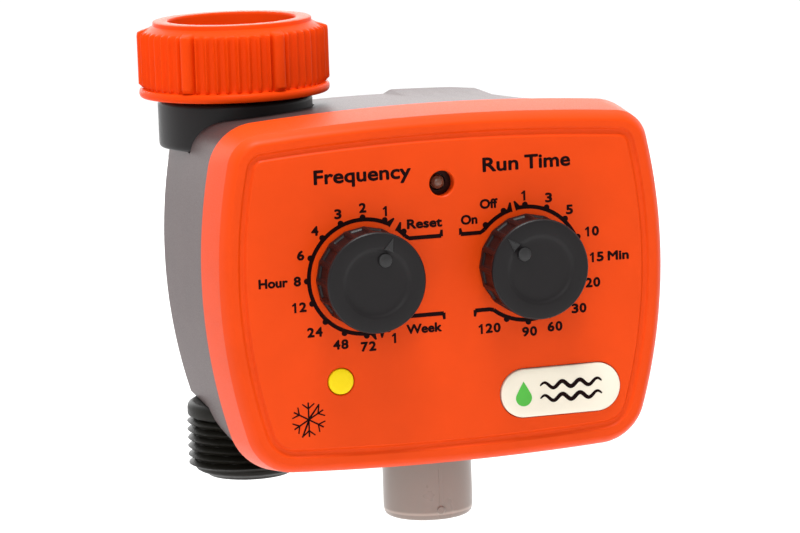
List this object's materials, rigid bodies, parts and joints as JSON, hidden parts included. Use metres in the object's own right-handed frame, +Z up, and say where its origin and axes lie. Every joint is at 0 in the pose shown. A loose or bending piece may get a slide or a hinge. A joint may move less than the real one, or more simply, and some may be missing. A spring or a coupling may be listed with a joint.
{
  "type": "drip irrigation timer",
  "caption": "Hose-tap irrigation timer: control box with frequency and run-time dials beside a motor-driven ball valve, with a swivel hose nut on top and a threaded outlet below.",
  "frame": {"origin": "centre of the hose nut's mouth, on the water pipe's axis", "axes": "+Z up along the water pipe, out of the nut's mouth; the control panel faces -Y; +X to the right as seen from the panel"},
  "size_m": [0.1015, 0.0747, 0.1076],
  "materials": {
    "orange_plastic": "satin moulded ABS, fine sparkle texture",
    "nut_orange_plastic": "satin moulded plastic, a little redder than the cover",
    "grey_plastic": "matt moulded ABS, fine grain",
    "dark_plastic": "matt moulded plastic",
    "black_plastic": "semi-gloss moulded nylon",
    "clear_plastic": "smoky translucent polycarbonate",
    "ivory_badge": "domed resin, satin",
    "yellow_plastic": "satin moulded plastic",
    "white_plastic": "natural acetal",
    "black_rubber": "matt rubber",
    "steel": "bright steel",
    "brass": "turned brass",
    "board_green": "glass-fibre board with solder mask",
    "cell_wrap": "printed cell wrap"
  },
  "bodies": {
    "housing": {"front_cover": "orange_plastic", "rear_housing": "grey_plastic", "housing_gasket": "black_rubber", "cover_screw_1": "steel", "cover_screw_2": "steel", "cover_screw_3": "steel", "cover_screw_4": "steel", "frequency_switch": "grey_plastic", "run_time_switch": "grey_plastic", "badge": "ivory_badge", "yellow_plug": "yellow_plastic", "led": "clear_plastic", "led_holder": "dark_plastic", "circuit_board": "board_green", "inlet_collar": "dark_plastic", "inlet_tail": "black_plastic", "tap_washer": "black_rubber", "filter_screen": "steel", "valve_body": "white_plastic", "upper_seat": "white_plastic", "lower_seat": "white_plastic", "outlet_spout": "black_plastic", "outlet_seal": "black_rubber", "gear_motor": "steel", "gear_plate": "steel", "idler_axle": "steel", "battery_sleeve": "grey_plastic", "contact_plate": "steel"},
    "hose_nut": {"hose_nut": "nut_orange_plastic"},
    "frequency_dial": {"frequency_knob": "dark_plastic", "frequency_shaft": "steel"},
    "run_time_dial": {"run_time_knob": "dark_plastic", "run_time_shaft": "steel"},
    "valve": {"valve_ball": "brass", "valve_stem": "brass", "stem_seal": "black_rubber", "output_gear": "white_plastic"},
    "idler": {"idler_gear": "white_plastic"},
    "pinion": {"motor_pinion": "brass", "motor_shaft": "steel"},
    "battery_tray": {"battery_cup": "clear_plastic", "cup_seal": "black_rubber", "battery_cell": "cell_wrap", "cell_spring": "steel", "contact_strip": "steel"}
  },
  "joints": [
    {"name": "nut_swivel", "type": "hinge", "parent": "housing", "child": "hose_nut", "pos_m": [0, 0, 0], "axis": [0, 0, 1], "continuous": true},
    {"name": "frequency_turn", "type": "hinge", "parent": "housing", "child": "frequency_dial", "pos_m": [0.0144, -0.045, -0.0502], "axis": [0, 1, 0], "range_deg": [-225, 22.5]},
    {"name": "run_time_turn", "type": "hinge", "parent": "housing", "child": "run_time_dial", "pos_m": [0.0494, -0.045, -0.0502], "axis": [0, 1, 0], "range_deg": [0, 247.5]},
    {"name": "valve_turn", "type": "hinge", "parent": "housing", "child": "valve", "pos_m": [0, 0, -0.0502], "axis": [0, 1, 0], "range_deg": [0, 90]},
    {"name": "idler_turn", "type": "hinge", "parent": "housing", "child": "idler", "pos_m": [0.01351, -0.022, -0.0424], "axis": [0, 1, 0], "range_deg": [-270, 0]},
    {"name": "motor_turn", "type": "hinge", "parent": "housing", "child": "pinion", "pos_m": [0.02702, -0.025, -0.0346], "axis": [0, 1, 0], "range_deg": [0, 810]},
    {"name": "battery_slide", "type": "slide", "parent": "housing", "child": "battery_tray", "axis": [0, 0, -1], "range_m": [0, 0.06]}
  ],
  "couplings": [
    {"joint": "idler_turn", "follows": "valve_turn", "ratio": -3},
    {"joint": "motor_turn", "follows": "valve_turn", "ratio": 9}
  ]
}
